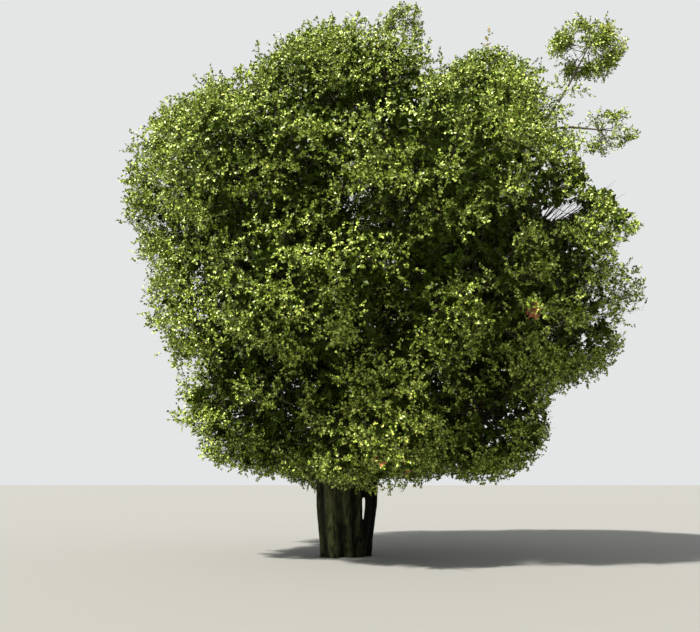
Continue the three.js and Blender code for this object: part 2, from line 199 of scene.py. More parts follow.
# The ribs are drawn out and the flutes in, less and less up the leaders, but not at the gap between the
# stems. The foot is drawn in all round.
RIB_DEPTH = 0.026
RIBS_END = 4.5
FOOT_DRAWN_IN = 0.14
FOOT_HEIGHT = 0.40
from_gap = np.hypot((corners[:, 0] - GAP["middle"][0]) / 0.16, (corners[:, 2] - GAP["middle"][2]) / 0.5)
drawn = RIB_DEPTH * rib * np.clip(from_gap - 0.6, 0, 1) * np.clip((RIBS_END - corners[:, 2]) / 3, 0, 1)
drawn = drawn - FOOT_DRAWN_IN * np.exp(-corners[:, 2] / FOOT_HEIGHT)
corners[:, :2] += drawn[:, None] * outward
corners[:, 2] = np.where(corners[:, 2] < 0.012, 0, corners[:, 2])
trunk.data.vertices.foreach_set("co", corners.ravel())
# The rib and right-stem values are kept on the corners for the bark's painted light and shade
for name, values in [("rib", rib), ("right_stem", on_right)]:
    attribute = trunk.data.attributes.new(name, "FLOAT", "POINT")
    attribute.data.foreach_set("value", values.astype(np.float32))
shade_smooth(trunk)


def node_tools(tree):
    """One helper adds a node with values on its sockets, and one links two sockets."""

    def add(kind, values=(), **settings):
        node = tree.nodes.new(kind)
        for name, value in settings.items():
            setattr(node, name, value)
        for socket, value in dict(values).items():
            node.inputs[socket].default_value = value
        return node

    def link(source, output, target, socket):
        tree.links.new(source.outputs[output], target.inputs[socket])

    return add, link


def new_material(name, sheen=0.5):
    """A material with its shader and the two helpers for its nodes."""
    material = bpy.data.materials.new(name)
    material.use_nodes = True
    shader = material.node_tree.nodes["Principled BSDF"]
    shader.inputs["Specular IOR Level"].default_value = sheen
    return material, shader, *node_tools(material.node_tree)


# Hornbeam bark as a node group: fissured upright, darker in the fissures, with algae in soft patches
bark = bpy.data.node_groups.new("hornbeam bark", "ShaderNodeTree")
for name, kind, in_out in [
    ("Fissure Scale", "Float", "INPUT"),
    ("Stretch", "Vector", "INPUT"),
    ("Bark Color", "Color", "INPUT"),
    ("Fissure Color", "Color", "INPUT"),
    ("Algae Color", "Color", "INPUT"),
    ("Color", "Color", "OUTPUT"),
    ("Roughness", "Float", "OUTPUT"),
    ("Height", "Float", "OUTPUT"),
]:
    bark.interface.new_socket(name=name, in_out=in_out, socket_type="NodeSocket" + kind)
add, link = node_tools(bark)
given = add("NodeGroupInput")
result = add("NodeGroupOutput")
place = add("ShaderNodeTexCoord")
upright = add("ShaderNodeMapping")
link(place, "Object", upright, "Vector")
link(given, "Stretch", upright, "Scale")
grain = add("ShaderNodeTexNoise", {"Detail": 8, "Roughness": 0.62, "Distortion": 0.6})
link(upright, "Vector", grain, "Vector")
link(given, "Fissure Scale", grain, "Scale")
depth = add("ShaderNodeMapRange", {"From Min": 0.36, "From Max": 0.62})
link(grain, "Fac", depth, "Value")
patches = add("ShaderNodeTexNoise", {"Scale": 2.2, "Detail": 4, "Roughness": 0.6})
link(place, "Object", patches, "Vector")
algae = add("ShaderNodeMapRange", {"From Min": 0.45, "From Max": 0.68, "To Max": 0.75})
link(patches, "Fac", algae, "Value")

# The colours of a Mix node go by number
COLOR_A = 6
COLOR_B = 7
COLOR_OUT = 2
skin_color = add("ShaderNodeMix", data_type="RGBA")
link(algae, "Result", skin_color, "Factor")
link(given, "Bark Color", skin_color, COLOR_A)
link(given, "Algae Color", skin_color, COLOR_B)
bark_color = add("ShaderNodeMix", data_type="RGBA")
link(depth, "Result", bark_color, "Factor")
link(given, "Fissure Color", bark_color, COLOR_A)
link(skin_color, COLOR_OUT, bark_color, COLOR_B)
link(bark_color, COLOR_OUT, result, "Color")
dull = add("ShaderNodeMapRange", {"To Min": 0.97, "To Max": 0.82})
link(depth, "Result", dull, "Value")
link(dull, "Result", result, "Roughness")
link(depth, "Result", result, "Height")


def bark_material(name, scale, stretch, bump, bare, fissure, algae_tone):
    material, shader, add, link = new_material(name, sheen=0.25)
    tones = {"Bark Color": (*bare, 1), "Fissure Color": (*fissure, 1), "Algae Color": (*algae_tone, 1)}
    rind = add("ShaderNodeGroup", {"Fissure Scale": scale, "Stretch": stretch, **tones}, node_tree=bark)
    relief = add("ShaderNodeBump", {"Strength": 0.8, "Distance": bump})
    link(rind, "Height", relief, "Height")
    link(relief, "Normal", shader, "Normal")
    link(rind, "Color", shader, "Base Color")
    link(rind, "Roughness", shader, "Roughness")
    return material


# Painted light and shade on the trunk: its ribs are painted paler than its flutes, and the right stem is
# painted darker than the left as shade
trunk_bark = bark_material(
    "trunk bark",
    scale=13,
    stretch=(1, 1, 0.30),
    bump=0.016,
    bare=(0.062, 0.065, 0.027),
    fissure=(0.010, 0.011, 0.005),
    algae_tone=(0.078, 0.096, 0.030),
)
add, link = node_tools(trunk_bark.node_tree)
shader = trunk_bark.node_tree.nodes["Principled BSDF"]
rind = next(node for node in trunk_bark.node_tree.nodes if node.type == "GROUP")
# Painted light on the ribs and painted shade in the flutes
on_rib = add("ShaderNodeAttribute", attribute_name="rib")
rib_light = add("ShaderNodeMapRange", {"From Min": -0.7, "From Max": 0.8, "To Min": 0.16, "To Max": 1.5})
link(on_rib, "Fac", rib_light, "Value")
# Painted shade on the right stem: its bark is darkened to a tenth of its brightness
on_side = add("ShaderNodeAttribute", attribute_name="right_stem")
side_light = add("ShaderNodeMapRange", {"To Min": 1.0, "To Max": 0.10})
link(on_side, "Fac", side_light, "Value")
both = add("ShaderNodeMath", operation="MULTIPLY")
link(rib_light, "Result", both, 0)
link(side_light, "Result", both, 1)
# The painted light and shade scale the brightness of the bark's colour
painted_light_and_shade = add("ShaderNodeHueSaturation")
link(rind, "Color", painted_light_and_shade, "Color")
link(both, "Value", painted_light_and_shade, "Value")
link(painted_light_and_shade, "Color", shader, "Base Color")
shader.inputs["Specular IOR Level"].default_value = 0.12
trunk.data.materials.append(trunk_bark)
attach(trunk, "root")
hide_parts("trunk", "leader_left", "leader_right")


# The boughs.
# Long tapering limbs with thinner, smoother bark than the trunk, which leave the leaders steeply and bend
# over into the foliage. Each grows out of its leader with a slight collar.

boughs = merged_copies("boughs", sorted(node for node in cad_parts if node.startswith("bough_")))
apply_modifier(boughs, "SUBSURF", levels=2, render_levels=2)
add_relief(boughs, "knots", size=0.22, stretch=1.6, depth=0.020, mid_level=0.5)
shade_smooth(boughs)
bough_bark = bark_material(
    "bough bark",
    scale=14,
    stretch=(1, 1, 0.4),
    bump=0.006,
    bare=(0.100, 0.094, 0.072),
    fissure=(0.022, 0.020, 0.015),
    algae_tone=(0.115, 0.122, 0.080),
)
boughs.data.materials.append(bough_bark)
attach(boughs, "root")
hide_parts(*[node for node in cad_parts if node.startswith("bough_")])


# The twigs.
# Slim brown-grey shoots in four orders: a stem in each mass of foliage, branches that leave it at
# golden-angle steps, a domed clump of shoots on each, and thin twiglets all round them with the leaves.

# The foliage grows in masses, tier over tier round the leaders, each in a space that ends half way to its
# neighbours. A tier is a ring of masses, whose boughs leave the stems at one angle and arrive at the other.
TIERS = [
    {
        "name": "skirt", "count": 5, "middle": 0.50, "first": 270, "ring": 2.50, "height": 3.00, "tilt": 0,
        "half": (2.10, 2.30, 1.62), "leaves_at": (2.45, 0.13), "angles": (22, -18),
    },
    {
        "name": "lower", "count": 7, "middle": 0.90, "first": 300, "ring": 3.35, "height": 5.30, "tilt": 0,
        "half": (2.65, 2.60, 2.05), "leaves_at": (2.90, 0.26), "angles": (42, 14),
    },
    {
        "name": "middle", "count": 7, "middle": 0.79, "first": 287, "ring": 4.00, "height": 7.50,
        "tilt": -0.45, "half": (2.65, 2.65, 2.05), "leaves_at": (4.00, 0.30), "angles": (55, 22),
    },
    {
        "name": "upper", "count": 5, "middle": 0.26, "first": 346, "ring": 2.95, "height": 9.20,
        "tilt": 0.25, "half": (2.30, 2.60, 1.90), "leaves_at": (5.90, 0.26), "angles": (62, 48),
    },
]
CRESTS = [
    {"name": "crest_left", "crowns": "left", "centre": (-0.42, 0, 10.82), "half": (2.20, 2.20, 1.82)},
    {"name": "crest_right", "crowns": "right", "centre": (3.05, -0.06, 10.70), "half": (1.85, 2.00, 1.45)},
]
# The open tufts: how far their gaps and edge are drawn in, twiglets to a shoot and leaves to a twiglet, the
# step from one inner clump to the next, and the number and size of the bough's own shoots
TUFTS = [
    {
        "name": "tuft_high_right", "centre": (5.90, -0.15, 11.95), "half": (1.05, 0.90, 1.05),
        "stem": "right", "from": 7.90, "angles": (42, 62), "gaps": 0.50, "shy": 0.0,
        "leafage": (7, 11), "inner_step": 1,
    },
    {
        "name": "tuft_right", "centre": (6.20, -0.35, 9.78), "half": (0.96, 0.76, 0.66),
        "stem": "right", "from": 7.30, "angles": (40, -8), "gaps": 0.60, "shy": 0.12,
        "leafage": (5, 9), "inner_step": 2,
    },
    {
        "name": "tuft_top", "centre": (1.45, -0.20, 12.56), "half": (0.62, 0.60, 0.68),
        "stem": "left", "from": 8.30, "angles": (62, 80), "gaps": 0.65, "shy": 0.04,
        "leafage": (5, 10), "inner_step": 2, "shoots": (30, 0.42),
    },
]
GOLDEN_ANGLE = pi * (3 - sqrt(5))
UP = np.array([0.0, 0.0, 1.0])


def seeded(seed):
    state = int(seed) % 2**32

    def draw():
        nonlocal state
        state = (state * 1664525 + 1013904223) % 2**32
        return state / 2**32

    return draw


def spread(draw, size):
    return (draw() * 2 - 1) * size


masses = []
for index, tier in enumerate(TIERS):
    draw = seeded(8 + index)
    for i in range(tier["count"]):
        azimuth = radians(tier["first"] + 360 * i / tier["count"] + spread(draw, 8))
        ring = tier["ring"] + spread(draw, 0.22)
        height = tier["height"] + tier["tilt"] * cos(azimuth) + spread(draw, 0.24)
        start, step = tier["leaves_at"]
        masses.append(
            {
                **tier,
                "name": f"{tier['name']}_{i + 1}",
                "tier": tier["name"],
                "centre": np.array(
                    [tier["middle"] + ring * cos(azimuth), 0.92 * ring * sin(azimuth), height]
                ),
                "azimuth": azimuth,
                "dense": True,
                "stem": "right" if cos(azimuth) > 0.35 else "left",
                "from": start + step * (i % 3),
            }
        )
for item in CRESTS + TUFTS:
    masses.append(
        {
            **item,
            "tier": "crest" if "crowns" in item else "tuft",
            "centre": np.array(item["centre"]),
            "azimuth": pi if item["centre"][0] < 0 else 0.0,
            "dense": "crowns" in item,
        }
    )
for mass in masses:
    outward = np.array([cos(mass["azimuth"]), sin(mass["azimuth"]), 0.0])
    mass["axes"] = np.array([outward, [-outward[1], outward[0], 0.0], UP]) / np.array(mass["half"])[:, None]
    walls = [(other["centre"], 0.5, 0.012) for other in masses if other is not mass]
    for side in STEMS:
        if side == mass.get("crowns"):
            continue
        for level in (-0.8, -0.4, 0, 0.4, 0.8):
            height = min(mass["centre"][2] + level * mass["half"][2], STEMS[side][-1][0])
            middle, width = on_stem(side, height)
            walls.append((middle, 1.0, width + 0.33))
    towards = np.array([point for point, _, _ in walls]) - mass["centre"]
    apart = norm(towards, axis=1)
    mass["normals"] = towards / apart[:, None]
    mass["distances"] = apart * [share for _, share, _ in walls] - [gap for _, _, gap in walls]


def reach(mass, directions, shell=1.0, wall=1.0):
    """How far a mass's space goes from its middle in each direction."""
    far = shell / norm(directions @ mass["axes"].T, axis=1)
    facing = directions @ mass["normals"].T
    limits = np.where(facing > 1e-9, wall * mass["distances"] / np.maximum(facing, 1e-9), np.inf)
    return np.minimum(far, limits.min(axis=1))


def fullness(mass, points):
    """Where points lie in a mass's space, from 0 at its middle to 1 at its edge."""
    v = points - mass["centre"]
    walls = (v @ mass["normals"].T / mass["distances"]).max(axis=-1)
    return np.maximum(norm(v @ mass["axes"].T, axis=-1), walls)


def rising(heading, degrees):
    angle = radians(degrees)
    level = cos(angle)
    return np.array([cos(heading) * level, sin(heading) * level, sin(angle)])


# A mass's limbs and leaves end this close to the edge of its space
REACH = 0.985
for mass in masses:
    if "crowns" in mass:
        mass["entry"], _ = on_stem(mass["crowns"], STEMS[mass["crowns"]][-1][0])
        mass["arrival"] = UP
        continue
    start, _ = on_stem(mass["stem"], mass["from"])
    leaves, arrives = mass["angles"]
    heading = atan2(mass["centre"][1] - start[1], mass["centre"][0] - start[0])
    arrival = rising(heading, arrives)
    tip = mass["centre"] - REACH * reach(mass, -arrival[None])[0] * arrival
    span = norm(tip - start)
    draw = seeded(round(1000 * (mass["from"] + mass["centre"][2])))
    sway = spread(draw, 0.05 * span) * np.array([-sin(heading), cos(heading), 0])
    mass["curve"] = [start, start + 0.36 * span * rising(heading, leaves) + sway]
    mass["curve"] += [tip - 0.34 * span * arrival - sway, tip]
    mass["entry"] = tip
    mass["arrival"] = unit(tip - mass["curve"][2])


def on_bough(mass, shares):
    """Points at shares of the way along a mass's bough."""
    t = shares[:, None]
    a, b, c, d = mass["curve"]
    return (1 - t) ** 3 * a + 3 * t * (1 - t) ** 2 * b + 3 * t**2 * (1 - t) * c + t**3 * d


# Balls along every limb, which twigs are held clear of
BOUGH_BALL = 0.09
balls = []
for side in STEMS:
    for height in np.linspace(0, STEMS[side][-1][0], 41):
        middle, width = on_stem(side, height)
        balls.append((*middle, 1.15 * width))
for mass in masses:
    if "curve" in mass:
        balls += [(*point, BOUGH_BALL) for point in on_bough(mass, np.linspace(0, 1, 31))]
balls = np.array(balls)


def clear_of_limbs(points):
    """For rows of points: whether all of a row stays off the limbs."""
    flat = points.reshape(-1, 1, 3)
    free = (norm(flat - balls[None, :, :3], axis=2) > balls[:, 3] + 0.03).all(axis=1)
    return free.reshape(points.shape[:-1]).all(axis=1)


def branch_directions(mass, draw):
    """The source's golden-angle steps round the line from a mass's entry through its middle."""
    count, sweep = (58, 1.4) if mass["dense"] else (10, 1.6)
    pole = unit(mass["centre"] - mass["entry"])
    across = unit(np.cross([0.31, 0.17, 0.93], pole))
    beside = np.cross(pole, across)
    first = draw() * 2 * pi
    k = np.arange(count)
    cosine = 1 - sweep * (k + 0.5) / count
    sine = np.sqrt(1 - cosine**2)
    turn = first + k * GOLDEN_ANGLE + np.array([spread(draw, 0.18) for _ in k])
    return (
        cosine[:, None] * pole
        + (sine * np.cos(turn))[:, None] * across
        + (sine * np.sin(turn))[:, None] * beside
    )


# The half width of each order of twigs along its length
STEM_FOOT = 0.044
TUFT_STEM_FOOT = 0.030
STEM_TIP = 0.012
BRANCH_TAPER = np.array([0.022, 0.015, 0.009, 0.004])
TUFT_BRANCH = 0.6
MENDED_TAPER = [0.014, 0.010, 0.007, 0.003]
SHOOT_TAPER = [0.0065, 0.002]
TWIGLET_TAPER = [0.0028, 0.001]
branches = []
twiglets = []
sprays = []
holds = []
leafy_ends = []
rng = np.random.default_rng(20)

# The crown is built of shelves that arch over and droop outwards, one above the other, with uneven rims
CROWN_MIDDLE = 0.7
SHELF = 1.15
SHELF_DEPTH = 0.16
shelf_turns = rng.uniform(0, 2 * pi, (16, 3))
shelf_arches = rng.integers(9, 14, 16)


def shelf_rise(points):
    """How far up its shelf a point lies, from 0 on the drooping rim to 1 right under the rim above."""
    x, y, z = points[..., 0] - CROWN_MIDDLE, points[..., 1], points[..., 2]
    around = np.arctan2(y, x)
    level = z + 0.33 * np.hypot(x, y)
    below = np.full(level.shape, -9.0)
    above = np.full(level.shape, 99.0)
    for i, (first, second, third) in enumerate(shelf_turns):
        bent = around + 0.16 * np.sin(2 * around + first) + 0.07 * np.sin(5 * around + second)
        arch = np.abs(np.cos(shelf_arches[i] * bent / 2 + third))
        rim = SHELF * (i + 0.75 * arch - 0.35 + 0.25 * np.sin(3 * around + second))
        under = rim <= level
        below = np.where(under, np.maximum(below, rim), below)
        above = np.where(under, above, np.minimum(above, rim))
    return np.clip((level - below) / (above - below), 0, 1)


# A slow swell over the crown, which draws its surface in between clumps
SWELLS = 12
SWELL_DEPTH = 0.06
swell_ways = unit(rng.normal(0, 1, (SWELLS, 3))) * (2 * pi / rng.uniform(1.1, 2.6, (SWELLS, 1)))
swell_starts = rng.uniform(0, 2 * pi, SWELLS)

# Hollows in the front, bays in the outline, and fuller places where the depth is below 0: middle, half
# sizes, and how far the surface is drawn in. They rise towards the back.
HOLLOWS = [
    ((0.72, -3.40, 4.85), (0.60, 1.50, 0.72), 0.30),
    ((2.75, -3.60, 5.25), (0.80, 1.40, 0.50), 0.14),
    ((1.85, -3.50, 5.85), (0.90, 1.30, 0.50), -0.20),
    ((2.50, -3.30, 3.50), (0.80, 1.20, 0.40), -0.12),
    ((-0.05, -3.30, 7.70), (0.50, 1.30, 0.45), 0.08),
    ((-1.00, -3.20, 2.55), (0.80, 1.40, 0.55), 0.22),
    ((3.05, -3.00, 2.50), (0.65, 1.40, 0.50), 0.20),
    ((1.90, -3.30, 2.40), (0.40, 1.30, 0.35), 0.08),
    ((2.15, 0.00, 11.95), (0.62, 2.20, 0.80), 0.52),
    ((1.95, -3.30, 10.30), (0.75, 1.40, 0.90), 0.26),
    ((2.90, -1.10, 11.80), (1.20, 1.60, 0.80), 0.20),
    ((6.90, -0.20, 8.70), (0.90, 2.60, 0.90), 0.44),
    ((6.35, 0.00, 6.90), (0.80, 3.00, 0.24), 0.46),
    ((6.35, 0.00, 5.40), (0.80, 3.00, 0.22), 0.46),
    ((6.60, -0.30, 4.20), (0.90, 2.40, 0.80), 0.16),
    ((-3.35, 0.00, 11.05), (0.60, 3.20, 0.45), 0.25),
    ((-5.60, 0.00, 8.00), (0.60, 2.50, 0.60), 0.09),
]
HOLLOW_SLOPE = 0.25

# Where the sky shows through the crown or bites into its right side: a point in the gap, the way through
# it, and its half width and half height
GAP_DEPTH = 1.6
SKY_GAPS = [
    ((4.98, 0.0, 7.86), (0.272, 1.0, 0.346), 0.30, 0.15),
    ((5.38, 0.0, 7.96), (0.293, 1.0, 0.351), 0.26, 0.13),
    ((6.63, 0.0, 9.04), (0.361, 1.0, 0.411), 0.60, 0.38),
    ((7.03, 0.0, 8.42), (0.383, 1.0, 0.376), 0.42, 0.30),
]

# Low down the rim of the crown is drawn in, but not in front of the trunk
LOW_RIM = {"top": 3.9, "radius": 3.4, "depth": 0.12}


def swell(points, finer=1.0):
    return np.sin(points @ (finer * swell_ways).T + swell_starts).sum(axis=-1) / sqrt(SWELLS)


def drawn_in(points):
    """How far the crown's surface is drawn in at points, as a share of a mass's half size."""
    shelf = SHELF_DEPTH * shelf_rise(points) ** 0.8 * np.clip(points[..., 2] - 1.7, 0.2, 1)
    drawn = shelf + SWELL_DEPTH * np.clip(0.1 - swell(points), 0, 1.5)
    for middle, half, depth in HOLLOWS:
        away = points - middle
        away = away - HOLLOW_SLOPE * away[..., 1:2] * UP
        drawn = drawn + depth * np.exp(-((away / half) ** 2).sum(axis=-1))
    for middle, way, wide, high in SKY_GAPS:
        away = points - middle
        away = away - away[..., 1:2] * way
        drawn = drawn + GAP_DEPTH * np.exp(-((away[..., 0] / wide) ** 4) - (away[..., 2] / high) ** 4)
    from_middle = np.hypot(points[..., 0] - CROWN_MIDDLE, points[..., 1])
    rim = np.clip(from_middle / LOW_RIM["radius"], 0, 1) ** 2
    front = np.exp(-(((points[..., 0] - 0.95) / 0.85) ** 2)) * (points[..., 1] < 0)
    low = np.clip((LOW_RIM["top"] - points[..., 2]) / 0.8, 0, 1)
    return drawn + LOW_RIM["depth"] * low * rim * (1 - front)


# Thin places in the tufts, or full ones where the depth is below 0: middle, half size and depth
TUFT_GAPS = [
    ((5.50, -0.15, 12.30), 0.45, -1.0),
    ((5.74, -0.15, 11.92), 0.32, -0.8),
    ((6.98, -0.15, 11.50), 0.48, 1.6),
    ((7.10, -0.35, 9.80), 0.36, 1.6),
]


def tuft_gap(points):
    """Above 0 where a tuft leaves a gap between its sprays."""
    gap = swell(points, finer=2.4) - 0.15
    for middle, size, depth in TUFT_GAPS:
        gap = gap + depth * np.exp(-(((points - middle) / size) ** 2).sum(axis=-1))
    return gap


# How sharply the masses part at their seams: the lower, the more they melt together
SEAM = 7
MENDED_SEAM = 5.5
SHADE_SEAM = 5


def crown_depth(points, melt=SEAM):
    """Where points lie in the whole crown, 1 at its surface."""
    total = sum(
        np.exp(-melt * norm((points - mass["centre"]) @ mass["axes"].T, axis=-1))
        for mass in masses
        if mass["dense"]
    )
    return -np.log(total + 1e-30) / melt


# Leaves may stand a little out of the box of the solids, but not hang lower than the lowest spray
box_low, box_high = np.array(cad_box[0]), np.array(cad_box[1])
STAND_OUT = 0.12
LOWEST_SPRAY = 1.2


def in_reach(mass, points, extra, melt=SEAM):
    """Whether points lie within the reach of a mass's leaves."""
    limit = REACH + extra
    if mass["dense"]:
        depth = crown_depth(points, melt)
        limit = limit - drawn_in(points)
    else:
        depth = fullness(mass, points)
        limit = limit - mass["gaps"] * np.clip(tuft_gap(points), 0, 1) - mass["shy"]
    boxed = (points > box_low - STAND_OUT).all(axis=-1) & (points < box_high + STAND_OUT).all(axis=-1)
    return (depth < limit) & boxed & (points[..., 2] > LOWEST_SPRAY)


def rods(points, taper, sides=3):
    """Tapering twigs along rows of points, each ending in a tip: their corners, and one twig's faces."""
    n, k, _ = points.shape
    along = unit(points[:, -1] - points[:, 0])
    side = unit(np.cross(along, [0.31, 0.17, 0.93]))
    other = np.cross(along, side)
    turn = np.arange(sides) * 2 * pi / sides
    ring = np.cos(turn)[:, None] * side[:, None] + np.sin(turn)[:, None] * other[:, None]
    tubes = points[:, :-1, None] + np.array(taper)[:-1, None, None] * ring[:, None]
    corners = np.concatenate([tubes.reshape(n, -1, 3), points[:, -1:]], axis=1)
    faces = [(0, s + 1, s) for s in range(1, sides - 1)]
    for step in range(k - 2):
        for s in range(sides):
            a, b = step * sides + s, step * sides + (s + 1) % sides
            faces += [(a, b, b + sides), (a, b + sides, a + sides)]
    last = (k - 2) * sides
    faces += [(last + s, last + (s + 1) % sides, (k - 1) * sides) for s in range(sides)]
    return corners, np.array(faces)


def along_path(paths, share):
    """Points at shares of each path's own steps: share has a row for each path."""
    steps = paths.shape[1] - 1
    spot = share[..., None] * steps
    low = np.clip(np.floor(spot).astype(int), 0, steps - 1)
    lower = np.take_along_axis(paths, low, axis=1)
    upper = np.take_along_axis(paths, low + 1, axis=1)
    return lower + (upper - lower) * (spot - low)


def bowed(starts, tips):
    """Branches from their starts to their tips as rows of four points, bowed down a little."""
    s = np.array([0, 0.4, 0.75, 1.0])[None, :, None]
    span = norm(tips - starts, axis=1)[:, None, None]
    return starts[:, None] + (tips - starts)[:, None] * s - 0.07 * span * UP * np.sin(pi * s)


def round_the_way(way, count, turned):
    """Directions square to each way, at golden-angle steps."""
    side = unit(np.cross(way, UP + 0.01 * way))
    over = np.cross(side, way)
    turn = GOLDEN_ANGLE * np.arange(count) + turned
    return np.cos(turn)[..., None] * side[:, None] + np.sin(turn)[..., None] * over[:, None]


def fitted_shoots(mass, base, line, length, extra, melt=SEAM):
    """Shoots cut down until they end within reach, as two points each, and which of them fit at all."""
    size = np.zeros_like(length)
    for share in (1.0, 0.85, 0.7, 0.55, 0.4, 0.28):
        fresh = (size[:, 0] == 0) & in_reach(mass, base + line * length * share, extra, melt)
        size[fresh] = length[fresh] * share
    grown = size[:, 0] > 0
    base, line, size = base[grown], line[grown], size[grown]
    sagged = line + [0, 0, -0.10]
    return np.stack([base, base + sagged * size], axis=1), grown


# How far a leaf may stand out past its twig's limit, its length in the light, and its tone in the shade
LEAF_ROOM = 0.035
SHADE_ROOM = -0.07
SUN_LEAF = 0.062
SHADE_TONE = -1.0


def shade_leaves(mass, shoots, count, length):
    """Large dark leaves straight on a shoot, for the inside of the crown, whose dark tone is partly painted
    shade.
    """
    line = unit(shoots[:, 1] - shoots[:, 0])
    face = unit(0.7 * UP + rng.normal(0, 0.6, line.shape))
    across = unit(np.cross(line, face))
    place = np.broadcast_to(0.1 + 0.9 * np.arange(count) / (count - 1), (len(shoots), count))
    root = along_path(shoots, place)
    hand = np.where(np.arange(count) % 2, 1, -1)[None, :, None]
    blade = unit(0.6 * line[:, None] + 0.8 * hand * across[:, None] + rng.normal(0, 0.3, root.shape))
    room = np.full(root.shape[:2], SHADE_ROOM)
    tones = np.full(root.shape[:2], SHADE_TONE)
    sprays.append((mass, root, blade, face[:, None], length, tones, room, SHADE_SEAM))


def leafy_twiglets(mass, shoots, extra, count, leaves, melt=SEAM, size=1.0):
    """Twiglets all round a shoot, and the leaves on them."""
    n = len(shoots)
    line = unit(shoots[:, 1] - shoots[:, 0])
    place = np.broadcast_to(0.25 + 0.75 * np.arange(count) / (count - 1), (n, count))
    root = along_path(shoots, place)
    lateral = round_the_way(line, count, rng.uniform(0, 6.28, (n, 1)) + rng.uniform(-0.5, 0.5, (n, count)))
    lean = np.where(np.arange(count) == count - 1, 0.15, 1)[None, :, None]
    twig = unit(0.55 * line[:, None] + 0.8 * lean * lateral + [0, 0, 0.05])
    length = size * rng.uniform(0.22, 0.38, (n, count, 1)) * (1 - 0.3 * place[..., None])
    tone = rng.uniform(0.15, 0.85, (n, 1)) + rng.normal(0, 0.08, (n, count))
    outward = unit(root - mass["centre"])
    face = unit(0.55 * UP + 0.7 * outward + rng.normal(0, 0.3, root.shape))
    root, twig, length, face = (x.reshape(-1, x.shape[-1]) for x in (root, twig, length, face))
    tone = tone.ravel()
    inside = in_reach(mass, root + twig * length, np.repeat(extra, count) + 0.01, melt)
    root, twig, length, face, tone = root[inside], twig[inside], length[inside], face[inside], tone[inside]
    room = np.maximum(np.repeat(extra, count)[inside], 0) + LEAF_ROOM
    ends = np.stack([root, root + twig * length], axis=1)
    twiglets.append(rods(ends, TWIGLET_TAPER))
    spots = np.broadcast_to(0.08 + 0.92 * np.arange(leaves) / (leaves - 1), (len(ends), leaves))
    leaf_root = along_path(ends, spots)
    across = unit(np.cross(twig, face))
    hand = np.where(np.arange(leaves) % 2, 1, -1)[None, :, None] * np.where(spots >= 1, 0.15, 1)[..., None]
    roll = rng.normal(0, 0.9, hand.shape)
    beside = hand * np.cos(roll) * across[:, None] + np.sin(roll) * face[:, None]
    blade = unit(0.5 * twig[:, None] + 0.85 * beside + rng.normal(0, 0.3, beside.shape) + [0, 0, -0.10])
    tones = np.mod(tone[:, None] + rng.normal(0, 0.32, (len(tone), leaves)), 1)
    room = np.repeat(room[:, None], leaves, axis=1)
    sprays.append((mass, leaf_root, blade, face[:, None], SUN_LEAF, tones, room, melt))


# A clump's shoots, and the twiglets on a shoot and leaves on a twiglet where a mass says nothing else
CLUMP = 9
LEAFAGE = (6, 12)


def grow_clumps(mass, paths, set_back, melt):
    """A domed clump of leafy shoots at the end of each branch."""
    n, count = len(paths), CLUMP
    ways = unit(paths[:, -1] - paths[:, 0])
    share = 0.35 + 0.65 * rng.random((n, count)) ** 0.7
    base = along_path(paths, share)
    lateral = round_the_way(ways, count, rng.uniform(0, 6.28, (n, 1)) + rng.uniform(-0.4, 0.4, (n, count)))
    opening = np.sqrt((np.arange(count) + 0.5) / count)[None, :, None]
    dome = opening * lateral + np.sqrt(1 - 0.8 * opening**2) * unit(ways + 0.25 * UP)[:, None]
    width = (0.80 if mass["dense"] else 0.42) * rng.uniform(0.75, 1.25, (n, 1, 1))
    rim = paths[:, -1:] + width * dome * [1, 1, 0.62] * rng.uniform(0.8, 1.1, (n, count, 1))
    line = (rim - base).reshape(-1, 3)
    length = norm(line, axis=1, keepdims=True)
    extra = np.repeat(set_back, count)
    shoots, grown = fitted_shoots(mass, base.reshape(-1, 3), unit(line), length, extra, melt)
    extra = extra[grown]
    branches.append(rods(shoots, SHOOT_TAPER))
    deep = np.full(len(shoots), False)
    if mass["dense"]:
        skin = REACH - drawn_in(shoots[:, 1])
        deep = crown_depth(shoots[:, 1], melt) < np.minimum(0.73, skin - 0.16)
    leafy_twiglets(mass, shoots[~deep], extra[~deep], *mass.get("leafage", LEAFAGE), melt)
    leafy_ends.append(shoots[:, 1])
    if deep.any():
        shade_leaves(mass, shoots[deep], count=20, length=0.115)


